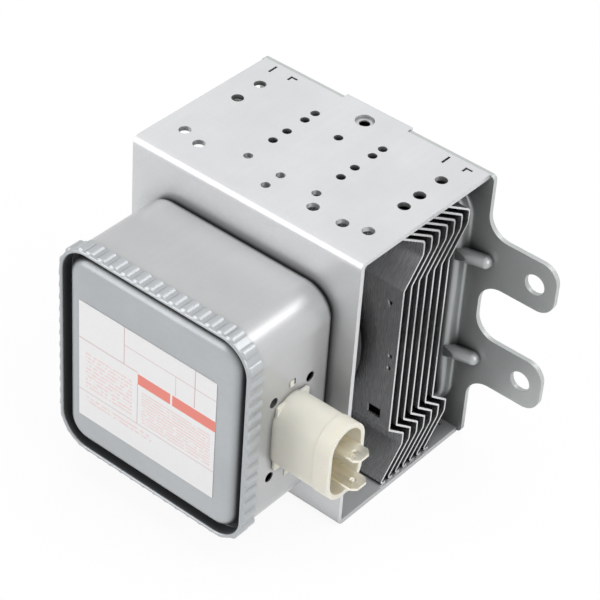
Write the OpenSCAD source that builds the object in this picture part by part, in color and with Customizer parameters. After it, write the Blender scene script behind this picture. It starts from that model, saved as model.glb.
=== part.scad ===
// Magnetron of a microwave oven: a sealed copper tube between two ring magnets, held in a
// folded steel yoke with cooling fins, a filter box with its lid and connector at the front,
// and a mounting plate with the antenna at the rear.
// It lies on the yoke's lower side plate. X runs across, Y from the lid to the antenna, Z up.

/* [Yoke] */
// Width of the folded yoke
yoke_w = 80; // [72:0.5:95]
// Height over its two side plates
yoke_h = 93.5; // [90:0.5:110]
// Sheet thickness of the yoke
yoke_t = 1.5; // [1:0.1:2]
// Outside radius of its two folds
yoke_bend_r = 2.5; // [2.2:0.1:4]
// Width of the tab that locks each side plate into the mounting plate
tab_w = 23.2; // [16:0.2:28]
// How far each of these tabs stands out behind the mounting plate
tab_out = 0.8; // [0:0.1:2]
// Diameter of the small holes in the side plates
vent_d = 2.7; // [2:0.1:3.4]
// Diameter of the larger holes in the side plates
lug_d = 3.6; // [3:0.1:4.5]
// Diameter of the sunk seat of the hole at each tab
tab_hole_d = 5.6; // [4:0.1:6.4]

/* [Mounting plate] */
// Sheet thickness of the mounting plate
plate_t = 1.5; // [1:0.1:2]
// How far the plate stands out past the yoke on each side
plate_over = 1.5; // [0.5:0.1:3]
// How deep the middle of the plate is pressed in
plate_step = 4.5; // [4:0.1:6]
// Flat border left on each side of the pressed middle
plate_border = 5.8; // [5:0.1:8]
// Flat border left above and below the pressed middle
plate_end_border = 6.8; // [5:0.1:12]
// Corner radius of the pressed middle
recess_r = 9; // [6:0.5:14]
// Length of each fixing ear past the plate's edge
ear_l = 24.3; // [18:0.1:32]
// Height of each fixing ear
ear_h = 16.4; // [13:0.1:20]
// Distance between the two ears' holes
ear_pitch = 35; // [32:0.1:40]
// How far the ears' middle lies above the tube axis
ear_rise = 1.5; // [-3:0.1:3]
// Hole centre from the ear's tip
ear_hole_in = 7; // [6:0.1:9]
// Diameter of the ear holes
ear_hole_d = 6.5; // [5:0.1:7]
// Corner radius of an ear's tip
ear_tip_r = 5.5; // [3:0.1:6]
// Fillet radius where an ear leaves the plate
ear_root_r = 7; // [3:0.1:8]

/* [Cooling fins] */
// Spacing of the fins along the tube
fin_pitch = 3.3; // [2.8:0.1:4]
// Sheet thickness of a fin
fin_t = 0.6; // [0.4:0.05:0.8]
// Gap between a fin's side edge and the yoke's side edge
fin_edge_gap = 0.8; // [0.3:0.1:3]
// Distance from the anode's front end to the first fin
fin_start = 3.5; // [3:0.1:6]
// Distance from the last fin to the anode's rear end
fin_end = 1.7; // [1.2:0.1:4]
// Length of the collar that grips the anode
fin_collar = 2; // [1:0.1:2.2]
// How far the folds push a fin's ends rearward
fin_fold = 7.1; // [5:0.1:7.5]
// Bend radius inside the folds of a fin
fin_bend_r = 1.6; // [0.6:0.1:2]
// How far inside the edge of the antenna-side magnet the folds begin
fold_lead = 0.55; // [0:0.05:1]

/* [Tube] */
// Outside diameter of the anode cylinder
anode_d = 40; // [38:0.5:44]
// Bore of the anode cylinder
anode_bore = 35; // [33:0.5:35]
// Axial height of the anode vanes
vane_h = 9.5; // [8:0.1:11]
// Thickness of a vane
vane_t = 2; // [1.5:0.1:2.2]
// Radius left open between the vane tips
vane_tip_r = 4.6; // [4.4:0.1:5.2]
// Thickness of the ring magnet on the filter side
input_magnet_t = 16.5; // [12:0.5:20]
// Diameter of the ring magnet on the filter side
input_magnet_d = 59; // [50:0.5:62]
// Thickness of the ring magnet on the antenna side
output_magnet_t = 7.5; // [6:0.5:12]
// Diameter of the ring magnet on the antenna side
output_magnet_d = 51; // [46:0.5:52]
// Outside diameter of the metal cups that close the tube
cup_d = 23; // [21:0.5:24]
// How far the filter-side cup stands out of the yoke
stem_out = 4; // [2:0.1:6]
// Length of the stem's ceramic
stem_l = 8; // [6:0.1:10]

/* [Antenna] */
// How far the antenna-side cup stands out of the pressed middle
cup_out = 5.5; // [4.5:0.1:8]
// Diameter of the output ceramic
output_ceramic_d = 17; // [15.6:0.1:19]
// Length of the output ceramic
output_ceramic_l = 11; // [8:0.1:14]
// Diameter of the antenna cap
cap_d = 14.8; // [13:0.1:15.4]
// Length of the antenna cap
cap_l = 16.5; // [14:0.1:20]
// Outside diameter of the wire-mesh gasket
gasket_d = 34.5; // [32:0.1:40]
// Thickness of the wire-mesh gasket
gasket_t = 6; // [4.5:0.1:7]

/* [Filter box] */
// Outside width of the box
box_w = 65.8; // [60:0.1:72]
// Outside height of the box
box_h = 68.2; // [64:0.1:76]
// Depth of the box from the yoke to its front edge
box_d = 30.6; // [29.5:0.1:38]
// Sheet thickness of the box
box_t = 0.5; // [0.4:0.05:0.8]
// Corner radius of the box
box_r = 9.2; // [8.4:0.1:12]
// Radius round the edge of the box's floor
box_floor_r = 2.5; // [1.5:0.1:3]
// Sheet thickness of the lid
lid_t = 0.5; // [0.4:0.05:0.8]
// How far the crimped skirt reaches down over the box
lid_skirt = 0.8; // [0.6:0.1:3]
// Depth of the channel round the lid's panel
lid_channel = 4; // [3.9:0.1:5]
// Flat width of the channel's floor
lid_floor = 1.1; // [0.4:0.1:2]
// Radius round the edge of the lid's panel
panel_r = 3.4; // [2:0.1:3.4]
// Spacing of the crimped ribs round the skirt
crimp_pitch = 4.2; // [3.4:0.1:6]
// How far a crimped rib stands out of the skirt
crimp_out = 0.6; // [0.3:0.05:0.8]
// Width of the label on the lid
label_w = 49.4; // [40:0.1:50]
// Height of the label on the lid
label_h = 40.5; // [30:0.1:48]

/* [Connector] */
// Height of the connector's section
conn_h = 24; // [22:0.1:28]
// Width of the connector's section
conn_w = 14.2; // [12.5:0.1:15]
// Wall of the connector's socket
conn_wall = 1.2; // [0.8:0.1:1.6]
// Length of the connector outside the box
conn_l = 19.3; // [14:0.1:24]
// Depth of the socket's mouth
conn_mouth = 9; // [6:0.1:11]
// Distance of the connector's axis in front of the yoke
conn_front = 16; // [14:0.1:18]
// How far the connector's axis lies below the tube axis
conn_drop = 3; // [0:0.1:5]
// Width of a terminal tab
blade_w = 6.3; // [4.8:0.1:6.4]
// Thickness of a terminal tab
blade_t = 0.8; // [0.5:0.05:1]
// Distance between the two terminal tabs
blade_pitch = 10; // [9:0.1:11]
// How far a terminal tab stands out of the socket
blade_out = 6; // [2:0.1:8]

/* [Hidden] */
$fn = 64;
// Clearance between pieces that slide together
fit = 0.05;
// Extra length that lets a cut run out of the solid
over = 1;
// How much a bent wire swells at its knees
wire_knee = 1.06;

fin_count = 7;
vane_count = 10;
fin_names = [for (i = [1:fin_count]) str("fin_", i)];
vane_names = [for (i = [1:vane_count]) str("anode_vane_", i)];
strap_names = ["strap_ring_1", "strap_ring_2", "strap_ring_3", "strap_ring_4"];

// Places along the tube, measured rearward from the yoke's front face
anode_l = fin_start + (fin_count - 1) * fin_pitch + fin_end;
anode_front = yoke_t + input_magnet_t;
anode_rear = anode_front + anode_l;
anode_mid = (anode_front + anode_rear) / 2;
web_front = anode_rear + output_magnet_t;
web_rear = web_front + plate_t;
yoke_l = web_front + plate_step;
axis_z = yoke_h / 2;

// Hole pattern of the side plates: distances from the front face, and from the middle
vent_x = 12;
vent_rows = [15.4, 25.6, 31.5, 39.1, 43.5];
middle_rows = [8.7, 14.8, 39.1];
lug_x = 32.2;
lug_rows = [12.3, 34, 43.5];
front_lugs = [[-25.2, 10.2], [15.2, 10.2], [25.2, 10.2], [32.2, 27.3]];
tab_hole_back = 4.4;
tab_hole_in = 3.2;
tab_hole_sink = 1;
stake_back = 3.2;
stake_slit = 0.7;
stake_slit_x = [-34.6, 27.3];
stake_slit_l = 3.6;
stake_corner_x = [-27.3, 34.6];
stake_corner_l = 2.2;
stake_corner_w = 2.4;

// Mounting plate: its height, and where its pressed middle and ears lie
plate_inset = 0.4;
plate_corner_r = 1.5;
plate_w = yoke_w + 2 * plate_over;
plate_h = yoke_h - 2 * plate_inset;
recess_w = plate_w - 2 * plate_border;
recess_h = plate_h - 2 * plate_end_border;
recess_edge_r = 2;
border_bend_r = 1;
ear_hole_x = plate_w / 2 + ear_l - ear_hole_in;
rib_r = 2.1;
rib_reach = 7.5;

// Folds of a fin, measured from the inside of the side plates
fin_flat_h = output_magnet_d - 2 * fold_lead;
fin_flat_margin = axis_z - yoke_t - fin_flat_h / 2;
lower_run = 5.7;
lower_riser = 4.1;
upper_run = 8.5;
upper_riser = 4.5;
lower_knee = fin_flat_margin - lower_run;
lower_crest = lower_knee - lower_riser;
upper_knee = fin_flat_margin - upper_run;
upper_crest = upper_knee - upper_riser;
lower_lip = 1.9;
upper_lip = 4;
fin_hook = 2.6;
hook_bend_r = 0.4;
bend_steps = 6;
flat_bend_r = 0.5;

// Punched places in a fin's flat middle, from the tube axis
fin_pin_d = 1.4;
fin_pins = [[37, 1.2], [37, -3]];
fin_slot = [4.4, 3.2];
fin_slot_at = [33.5, -20.7];
fin_notch = [1.8, 2.6];
fin_notch_at = [35.2, 18.4];
fin_bore_r = anode_d / 2 + fit;

// Tube: seats in the ends of the anode, pole pieces and cups
seat_w = 0.8;
pole_t = 1.6;
pole_bore_r = 4.8;
pole_flat_r = 8.2;
pole_rim_r = 15;
pole_gap = 1.1;
strap_t = 1;
strap_w = 1;
strap_r = [5.4, 7];
cup_t = 0.6;
cup_r = cup_d / 2;
seat_r = anode_bore / 2 + seat_w;
pole_depth = anode_l / 2 - vane_h / 2 - strap_t - pole_gap;
magnet_gap = 0.5;
yoke_gap = 1;
magnet_bore_d = cup_d + 2 * magnet_gap;
yoke_bore_d = cup_d + 2 * yoke_gap;
input_cup_l = anode_front + stem_out;
output_cup_l = output_magnet_t + plate_t + cup_out;
cup_lip_r = 7.4;

// Cathode: filament between two end hats, on two leads through the stem
filament_r = 1.9;
filament_wire_r = 0.3;
filament_turns = 14;
filament_l = 2 * filament_wire_r * (0.9 * (filament_turns - 1) + 1);
hat_r = 3.6;
hat_t = 1.4;
lead_r = 0.75;
side_lead_x = 2.6;
terminal_t = 1;
terminal_w = 4;
terminal_gap = 0.3;
stem_r = cup_r - 1.5;
stem_face = stem_out + stem_l;

// Antenna: lead from a vane to the exhaust tube under the cap
antenna_lead_r = 0.9;
antenna_lead_x = 9.4;
exhaust_r = 4.2;
exhaust_wall = 0.8;
exhaust_flange_t = 0.8;
exhaust_l = 9;
cap_t = 0.5;
cap_edge_r = 2;
ceramic_wall = 2;
gasket_ring_t = 0.5;
gasket_collar = 4;
gasket_edge_r = 2;
ceramic_front = output_cup_l;
ceramic_rear = ceramic_front + output_ceramic_l;

// Lid: its channel rests on the box's front edge, between a hemmed rim and a raised panel
skirt_gap = 0.4;
hem_gap = 0.2;
lid_over = lid_t + skirt_gap;
lid_w = box_w + 2 * lid_over;
lid_h = box_h + 2 * lid_over;
lid_r = box_r + lid_over;
roll_r = lid_t + hem_gap / 2;
lid_front = box_d + lid_t + lid_channel;
channel_bend = 0.3;
panel_drop = 0.2;
panel_front = lid_front - panel_drop;
channel_face = lid_front - lid_channel;
panel_wall = 2 * roll_r + 2 * channel_bend + lid_floor;
crimp_r = 2.2;
crimp_root = 0.3;
crimp_taper = 0.6;
crimp_back = 0.15;
label_t = 0.15;
label_at = [-1.5, -2];

// Connector: socket through the box's right wall, potting, ground plate and tabs
conn_y = -yoke_l / 2 - conn_front;
conn_z = axis_z - conn_drop;
box_side = box_w / 2;
box_inside = box_side - box_t;
conn_flange = 1.5;
conn_flange_t = 1.5;
conn_gap = 0.35;
conn_rim = 0.25;
conn_rim_l = 5;
conn_foot_l = 0.8;
conn_foot = [22.6, 12.8];
conn_foot_r = 0.8;
mouth_x = box_side + conn_l;
potting_x = mouth_x - conn_mouth;
flange_x = box_inside - conn_flange_t;
ground_t = 0.8;
ground_x = flange_x - ground_t;
potting_inner = 6;
blade_tail = 4;
blade_tip = 1.4;
blade_hole_d = 1.7;
stake_pitch_y = 14.7;
stake_pitch_z = 26.4;
stake_hole_d = 3.1;
window_pitch = 31.4;
window = [2, 2.4];
lug_h = window[0] - 2 * fit;
lug_w = 1.5;
lug_out = 0.3;
lug_at = fit + lug_w / 2 - window[1] / 2;

// Chokes: coil of wire round a ferrite rod, with leads to the stem and to the tabs
choke_wire_r = 0.7;
choke_lead_r = 0.6;
choke_bend = 1.5;
choke_lead_up = 1.2;
choke_r = 3.9;
choke_turns = 15;
choke_l = 2 * choke_wire_r * (0.95 * (choke_turns - 1) + 1);
choke_x = -2;
choke_up = 17.5;
choke_lift = 5;
choke_front = stem_face + terminal_t + choke_lift;
ferrite_over = 2;
stem_pad_x = 7;

function unit(v) = v / norm(v);
function left_of(v) = [-v[1], v[0]];
function leg(p, i) = unit(p[min(i + 1, len(p) - 1)] - p[min(i, len(p) - 2)]);

// Frames: along the tube, out of the yoke's front, and out of the box's right wall
module at_tube(a) {
    translate([0, a - yoke_l / 2, axis_z]) rotate([-90, 0, 0]) children();
}

module at_front(v) {
    translate([0, -v - yoke_l / 2, axis_z]) rotate([90, 0, 0]) children();
}

module at_side(x) {
    translate([x, conn_y, conn_z]) rotate([0, 90, 0]) children();
}

module across(w) {
    rotate([90, 0, 90]) linear_extrude(w, center = true) children();
}

// Flat shapes
module rounded_rect(w, h, r) {
    square([w - 2 * r, h], center = true);
    square([w, h - 2 * r], center = true);
    for (x = [-1, 1], y = [-1, 1]) {
        translate([x * (w / 2 - r), y * (h / 2 - r)]) circle(r);
    }
}

module obround(l, w) {
    square([l - w, w], center = true);
    for (x = [-1, 1]) {
        translate([x * (l - w) / 2, 0]) circle(d = w);
    }
}

module quarter_bend(r_out, r_in, turn) {
    intersection() {
        difference() {
            circle(r_out);
            circle(r_in);
        }
        rotate(turn) square(r_out + over);
    }
}

// A bent sheet's section along a line of points, with a bend radius at each point
function bend_angle(a, b) = atan2(a[0] * b[1] - a[1] * b[0], a * b);
function bend_cut(p, i, t, r) =
    i == 0 || i == len(p) - 1 ? 0 : (r[i] + t / 2) * tan(abs(bend_angle(leg(p, i - 1), leg(p, i))) / 2);
function turned(d, angle) = [d[0] * cos(angle) - d[1] * sin(angle), d[0] * sin(angle) + d[1] * cos(angle)];
function bend_side(p, i, t, r, side) =
    let (u = leg(p, i - 1))
    let (angle = bend_angle(u, leg(p, i)))
    let (mid_r = sign(angle) * (r[i] + t / 2))
    let (centre = p[i] - bend_cut(p, i, t, r) * u + mid_r * left_of(u))
    [for (k = [0:bend_steps]) centre + (side * t / 2 - mid_r) * left_of(turned(u, angle * k / bend_steps))];
function strip_side(p, t, r, side) = [
    p[0] + side * t / 2 * left_of(leg(p, 0)),
    for (i = [1:len(p) - 2]) each bend_side(p, i, t, r, side),
    p[len(p) - 1] + side * t / 2 * left_of(leg(p, len(p) - 2))
];
function backward(p) = [for (i = [len(p) - 1:-1:0]) p[i]];

module strip(p, t, r) {
    polygon(concat(strip_side(p, t, r, 1), backward(strip_side(p, t, r, -1))));
}

// A profile carried round a rounded rectangle; its x is the distance from the corner centres
module carry_round(w, h, r) {
    x = w / 2 - r;
    y = h / 2 - r;
    corners = [[x, y, 0], [-x, y, 90], [-x, -y, 180], [x, -y, 270]];
    for (c = corners) {
        translate([c[0], c[1], 0]) rotate(c[2]) rotate_extrude(angle = 90) children();
    }
    for (turn = [0, 180]) {
        rotate(turn) translate([x, 0, 0]) {
            rotate([90, 0, 0]) linear_extrude(2 * y, center = true) children();
        }
        rotate(turn + 90) translate([y, 0, 0]) {
            rotate([90, 0, 0]) linear_extrude(2 * x, center = true) children();
        }
    }
}

// A tube of touching wire turns round the z axis, flat at both ends
module wound(r, wire_r, turns, overlap) {
    l = wire_r * (2 + 2 * overlap * (turns - 1));
    rotate_extrude() {
        for (i = [0:turns - 1]) {
            translate([r, wire_r * (1 + 2 * overlap * i)]) circle(wire_r, $fn = 24);
        }
        for (z = [0, l - wire_r]) {
            translate([r - wire_r, z]) square([2 * wire_r, wire_r]);
        }
    }
}

// A bent round wire through a list of points, flat at both ends
module wire(p, r) {
    for (i = [0:len(p) - 2]) {
        d = p[i + 1] - p[i];
        translate(p[i]) rotate([0, acos(d[2] / norm(d)), atan2(d[1], d[0])]) {
            cylinder(h = norm(d), r = r, $fn = 24);
        }
    }
    for (i = [1:len(p) - 2]) {
        translate(p[i]) sphere(r * wire_knee, $fn = 24);
    }
}

// A round wire along square runs, with a round bend at each corner and flat ends
module bent_lead(p, r, bend) {
    last = len(p) - 1;
    for (i = [0:last - 1]) {
        d = unit(p[i + 1] - p[i]);
        a = p[i] + d * (i > 0 ? bend : 0);
        b = p[i + 1] - d * (i < last - 1 ? bend : 0);
        translate(a) rotate([0, acos(d[2]), atan2(d[1], d[0])]) cylinder(h = norm(b - a), r = r, $fn = 24);
    }
    for (i = [1:last - 1]) {
        u = unit(p[i] - p[i - 1]);
        w = unit(p[i + 1] - p[i]);
        n = cross(u, w);
        c = p[i] + bend * (w - u);
        multmatrix([
            [-w[0], u[0], n[0], c[0]],
            [-w[1], u[1], n[1], c[1]],
            [-w[2], u[2], n[2], c[2]],
            [0, 0, 0, 1]
        ]) rotate_extrude(angle = 90, $fn = 24) translate([bend, 0]) circle(r, $fn = 24);
    }
}

module fold_outline(inset, reach, r) {
    y = -yoke_l / 2 + inset;
    h = yoke_h - 2 * inset;
    translate([y + r, inset]) square([yoke_l - inset - r + reach, h]);
    translate([y, inset + r]) square([2 * r, h - 2 * r]);
    for (z = [inset + r, yoke_h - inset - r]) {
        translate([y + r, z]) circle(r);
    }
}

module side_plate_holes() {
    for (a = vent_rows, x = [-vent_x, vent_x]) {
        translate([x, a]) circle(d = vent_d);
    }
    for (a = middle_rows) {
        translate([0, a]) circle(d = vent_d);
    }
    for (a = lug_rows, x = [-lug_x, lug_x]) {
        translate([x, a]) circle(d = lug_d);
    }
    for (p = front_lugs) {
        translate(p) circle(d = lug_d);
    }
    translate([0, yoke_l - tab_hole_back]) circle(d = tab_hole_in);
    for (x = stake_slit_x) {
        translate([x, yoke_l - stake_back]) square([stake_slit, stake_slit_l], center = true);
    }
    for (x = stake_corner_x) {
        translate([x - stake_corner_w / 2, yoke_l - stake_back - stake_corner_l / 2]) {
            square([stake_slit, stake_corner_l]);
            translate([0, stake_corner_l - stake_slit]) square([stake_corner_w, stake_slit]);
        }
    }
}

// Flat seat that sinks the tab hole into the upper side plate
module tab_hole_seat() {
    translate([0, yoke_l / 2 - tab_hole_back, yoke_h - tab_hole_sink]) {
        cylinder(h = tab_hole_sink + over, d = tab_hole_d);
    }
}

// One sheet folded into a U: the front plate and the two side plates with their rear tabs
module yoke_frame() {
    color([0.80, 0.81, 0.82]) difference() {
        union() {
            across(yoke_w) difference() {
                fold_outline(0, 0, yoke_bend_r);
                fold_outline(yoke_t, over, yoke_bend_r - yoke_t);
            }
            for (z = [0, yoke_h - yoke_t]) {
                translate([-tab_w / 2, yoke_l / 2 - over, z]) {
                    cube([tab_w, over + plate_t + tab_out, yoke_t]);
                }
            }
        }
        translate([0, -yoke_l / 2, -over]) linear_extrude(yoke_h + 2 * over) side_plate_holes();
        at_tube(-over) cylinder(h = yoke_t + 2 * over, d = yoke_bore_d);
        tab_hole_seat();
        translate([0, 0, yoke_h]) mirror([0, 0, 1]) tab_hole_seat();
    }
}

module ear_outline(side) {
    x = plate_w / 2;
    z = ear_rise + side * ear_pitch / 2;
    translate([x - over, z - ear_h / 2]) square([ear_l + over - ear_tip_r, ear_h]);
    translate([x, z - ear_h / 2 + ear_tip_r]) square([ear_l, ear_h - 2 * ear_tip_r]);
    for (s = [-1, 1]) {
        translate([x + ear_l - ear_tip_r, z + s * (ear_h / 2 - ear_tip_r)]) circle(ear_tip_r);
        translate([x, z + s * ear_h / 2]) mirror([0, s < 0 ? 1 : 0]) difference() {
            translate([-over, -over]) square(ear_root_r + over);
            translate([ear_root_r, ear_root_r]) circle(ear_root_r);
        }
    }
}

module plate_outline() {
    difference() {
        union() {
            rounded_rect(plate_w, plate_h, plate_corner_r);
            for (s = [-1, 1]) {
                ear_outline(s);
            }
        }
        for (s = [-1, 1]) {
            translate([ear_hole_x, ear_rise + s * ear_pitch / 2]) circle(d = ear_hole_d);
            translate([0, s * yoke_h / 2]) square([tab_w + 2 * fit, 2 * (yoke_t + fit)], center = true);
        }
    }
}

module recess_profile() {
    square([recess_r - recess_edge_r, plate_t]);
    translate([recess_r - recess_edge_r, recess_edge_r]) {
        quarter_bend(recess_edge_r, recess_edge_r - plate_t, -90);
    }
    translate([recess_r - plate_t, recess_edge_r]) {
        square([plate_t, plate_step - recess_edge_r - border_bend_r]);
    }
    translate([recess_r + border_bend_r, plate_step - border_bend_r]) {
        quarter_bend(border_bend_r + plate_t, border_bend_r, 90);
    }
}

// A raised dart that stiffens the root of each ear
module stiffening_rib() {
    run = rib_reach + plate_t;
    slope = atan2(plate_step - rib_r, run);
    intersection() {
        translate([recess_w / 2 - plate_t, 0, rib_r / 2]) rotate([0, 90 - slope, 0]) {
            cylinder(h = run, r = rib_r);
            translate([0, 0, run]) sphere(rib_r);
        }
        translate([recess_w / 2 - plate_t / 2, -rib_r, 0]) {
            cube([2 * run, 2 * rib_r, plate_step + plate_t / 2]);
        }
    }
}

// Pressed plate with the two fixing ears; its middle is sunk towards the fins
module mounting_plate() {
    color([0.42, 0.45, 0.45]) at_tube(web_front) mirror([0, 1, 0]) difference() {
        union() {
            carry_round(recess_w, recess_h, recess_r) recess_profile();
            linear_extrude(plate_t) {
                square([recess_w - 2 * recess_r, recess_h - 2 * recess_r], center = true);
            }
            translate([0, 0, plate_step]) linear_extrude(plate_t) difference() {
                plate_outline();
                rounded_rect(recess_w + 2 * border_bend_r, recess_h + 2 * border_bend_r,
                    recess_r + border_bend_r);
            }
            for (s = [-1, 1]) {
                translate([0, ear_rise + s * ear_pitch / 2, 0]) stiffening_rib();
            }
        }
        translate([0, 0, -over]) cylinder(h = plate_t + 2 * over, d = yoke_bore_d);
    }
}

// Zigzag of a fin from its lower hook to its upper lip, as distances behind its flat middle
module fin_profile() {
    low = yoke_t;
    high = yoke_h - yoke_t;
    strip([
        [fin_hook - lower_lip, low + fin_t / 2],
        [-lower_lip, low + fin_t / 2],
        [fin_fold, low + lower_crest],
        [fin_fold, low + lower_knee],
        [0, low + fin_flat_margin],
        [0, high - fin_flat_margin],
        [fin_fold, high - upper_knee],
        [fin_fold, high - upper_crest],
        [-upper_lip, high - fin_t / 2]
    ], fin_t, [
        0, hook_bend_r, fin_bend_r, flat_bend_r, flat_bend_r, flat_bend_r, fin_bend_r, fin_bend_r, 0
    ]);
}

// Pin holes, slots and notches near both side edges of a fin
module fin_punches() {
    for (s = [-1, 1]) {
        for (q = fin_pins) {
            translate([s * q[0], q[1]]) circle(d = fin_pin_d);
        }
        translate([s * fin_slot_at[0], fin_slot_at[1]]) square(fin_slot, center = true);
        translate([s * fin_notch_at[0], fin_notch_at[1]]) polygon([
            [0, -fin_notch[1] / 2],
            [fin_notch[0] / 2, fin_notch[1] / 2],
            [-fin_notch[0] / 2, fin_notch[1] / 2]
        ]);
    }
}

// Folded sheet pressed onto the anode, with a drawn collar round its hole
module fin(i) {
    place = anode_front + fin_start + (i - 1) * fin_pitch;
    color([0.78, 0.79, 0.80]) difference() {
        union() {
            translate([0, place - yoke_l / 2, 0]) across(yoke_w - 2 * fin_edge_gap) fin_profile();
            at_tube(place - fin_collar) cylinder(h = fin_collar, r = fin_bore_r + fin_t);
        }
        at_tube(place - fin_collar - over) cylinder(h = fin_collar + 2 * over, r = fin_bore_r);
        at_tube(place - fin_t) mirror([0, 1, 0]) linear_extrude(2 * fin_t) fin_punches();
    }
}

module ring_magnet(front, d, t) {
    color([0.13, 0.13, 0.14]) at_tube(front) difference() {
        cylinder(h = t, d = d);
        translate([0, 0, -over]) cylinder(h = t + 2 * over, d = magnet_bore_d);
    }
}

module input_magnet() {
    ring_magnet(yoke_t, input_magnet_d, input_magnet_t);
}

module output_magnet() {
    ring_magnet(anode_rear, output_magnet_d, output_magnet_t);
}

// Copper cylinder with a seat turned into each end
module anode_cylinder() {
    seat_l = pole_t + cup_t;
    color([0.72, 0.45, 0.30]) at_tube(anode_front) difference() {
        cylinder(h = anode_l, d = anode_d);
        translate([0, 0, -over]) cylinder(h = anode_l + 2 * over, d = anode_bore);
        for (z = [-over, anode_l - seat_l]) {
            translate([0, 0, z]) cylinder(h = seat_l + over, r = seat_r);
        }
    }
}

module anode_vane(i) {
    turn = 360 / vane_count * (i - 1);
    color([0.74, 0.47, 0.31]) at_tube(anode_mid - vane_h / 2) rotate(turn) intersection() {
        translate([vane_tip_r, -vane_t / 2, 0]) cube([anode_bore, vane_t, vane_h]);
        cylinder(h = vane_h, r = anode_bore / 2 - fit);
    }
}

// Two straps lie on each end of the vanes, one inside the other
module strap_ring(i) {
    end = floor((i - 1) / 2);
    r = strap_r[(i - 1) % 2];
    place = anode_mid + (end == 0 ? -vane_h / 2 - strap_t : vane_h / 2);
    color([0.75, 0.55, 0.35]) at_tube(place) difference() {
        cylinder(h = strap_t, r = r + strap_w);
        translate([0, 0, -over]) cylinder(h = strap_t + 2 * over, r = r);
    }
}

// One end of the tube: z points out of the anode
module at_tube_end(end) {
    if (end == 0) {
        at_tube(anode_front) mirror([0, 0, 1]) children();
    } else {
        at_tube(anode_rear) children();
    }
}

// Iron funnel that leads the field to the cathode
module pole_piece() {
    rim = seat_r - fit;
    rotate_extrude() polygon([
        [rim, -cup_t],
        [rim, -cup_t - pole_t],
        [pole_rim_r, -cup_t - pole_t],
        [pole_flat_r, -pole_depth],
        [pole_bore_r, -pole_depth],
        [pole_bore_r, -pole_depth + pole_t],
        [pole_flat_r - pole_t / 2, -pole_depth + pole_t],
        [pole_rim_r - pole_t / 2, -cup_t]
    ]);
}

module pole_piece_input() {
    color([0.45, 0.46, 0.47]) at_tube_end(0) pole_piece();
}

module pole_piece_output() {
    color([0.45, 0.46, 0.47]) at_tube_end(1) difference() {
        pole_piece();
        translate([antenna_lead_x, 0, -anode_l / 2]) cylinder(h = anode_l / 2, r = 2 * antenna_lead_r);
    }
}

// Thin metal cup from the anode's end, through the magnet, to the ceramic
module seal_cup(l) {
    rotate_extrude() polygon([
        [seat_r - fit, 0],
        [cup_r, 0],
        [cup_r, l],
        [cup_lip_r, l],
        [cup_lip_r, l - cup_t],
        [cup_r - cup_t, l - cup_t],
        [cup_r - cup_t, -cup_t],
        [seat_r - fit, -cup_t]
    ]);
}

module seal_cup_input() {
    color([0.70, 0.70, 0.71]) at_tube_end(0) seal_cup(input_cup_l);
}

module seal_cup_output() {
    color([0.70, 0.70, 0.71]) at_tube_end(1) seal_cup(output_cup_l);
}

module filament() {
    color([0.35, 0.35, 0.36]) at_tube(anode_mid - filament_l / 2) {
        wound(filament_r, filament_wire_r, filament_turns, 0.9);
    }
}

module end_hat_input() {
    color([0.55, 0.55, 0.57]) at_tube(anode_mid - filament_l / 2 - hat_t) difference() {
        cylinder(h = hat_t, r = hat_r);
        translate([0, 0, -over]) cylinder(h = hat_t + 2 * over, r = lead_r + 2 * fit);
    }
}

module end_hat_output() {
    color([0.55, 0.55, 0.57]) at_tube(anode_mid + filament_l / 2) cylinder(h = hat_t, r = hat_r);
}

// Leads run from the cathode to the outside of the stem's terminals
module centre_lead() {
    l = anode_mid + filament_l / 2 + stem_face + terminal_t;
    color([0.62, 0.62, 0.64]) at_tube(-stem_face - terminal_t) cylinder(h = l, r = lead_r);
}

module side_lead() {
    l = anode_mid - filament_l / 2 - hat_t + stem_face + terminal_t;
    color([0.62, 0.62, 0.64]) at_tube(-stem_face - terminal_t) {
        translate([side_lead_x, 0, 0]) cylinder(h = l, r = lead_r);
    }
}

module lead_holes() {
    for (x = [0, side_lead_x]) {
        translate([x, 0, -over]) cylinder(h = stem_l + 2 * over, r = lead_r + fit);
    }
}

module stem_ceramic() {
    color([0.92, 0.88, 0.84]) at_front(stem_out) difference() {
        cylinder(h = stem_l, r = stem_r);
        lead_holes();
    }
}

// Flat terminal on the stem: one for each lead, side by side
module stem_terminal(side) {
    edge = (side_lead_x + side * terminal_gap) / 2;
    l = stem_pad_x + terminal_w / 2 - side * edge;
    color([0.70, 0.70, 0.70]) at_front(stem_face) difference() {
        translate([edge + side * l / 2, 0, terminal_t / 2]) cube([l, terminal_w, terminal_t], center = true);
        lead_holes();
    }
}

module output_ceramic() {
    color([0.93, 0.87, 0.83]) at_tube_end(1) translate([0, 0, ceramic_front]) difference() {
        cylinder(h = output_ceramic_l, d = output_ceramic_d);
        translate([0, 0, -over]) {
            cylinder(h = output_ceramic_l + 2 * over, r = output_ceramic_d / 2 - ceramic_wall);
        }
    }
}

// Rod from the edge of the first vane to the end of the exhaust tube
module antenna_lead() {
    color([0.74, 0.47, 0.31]) at_tube_end(1) wire([
        [antenna_lead_x, 0, vane_h / 2 - anode_l / 2],
        [antenna_lead_x, 0, 1],
        [0, 0, ceramic_front],
        [0, 0, ceramic_rear + exhaust_l / 2]
    ], antenna_lead_r);
}

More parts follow.
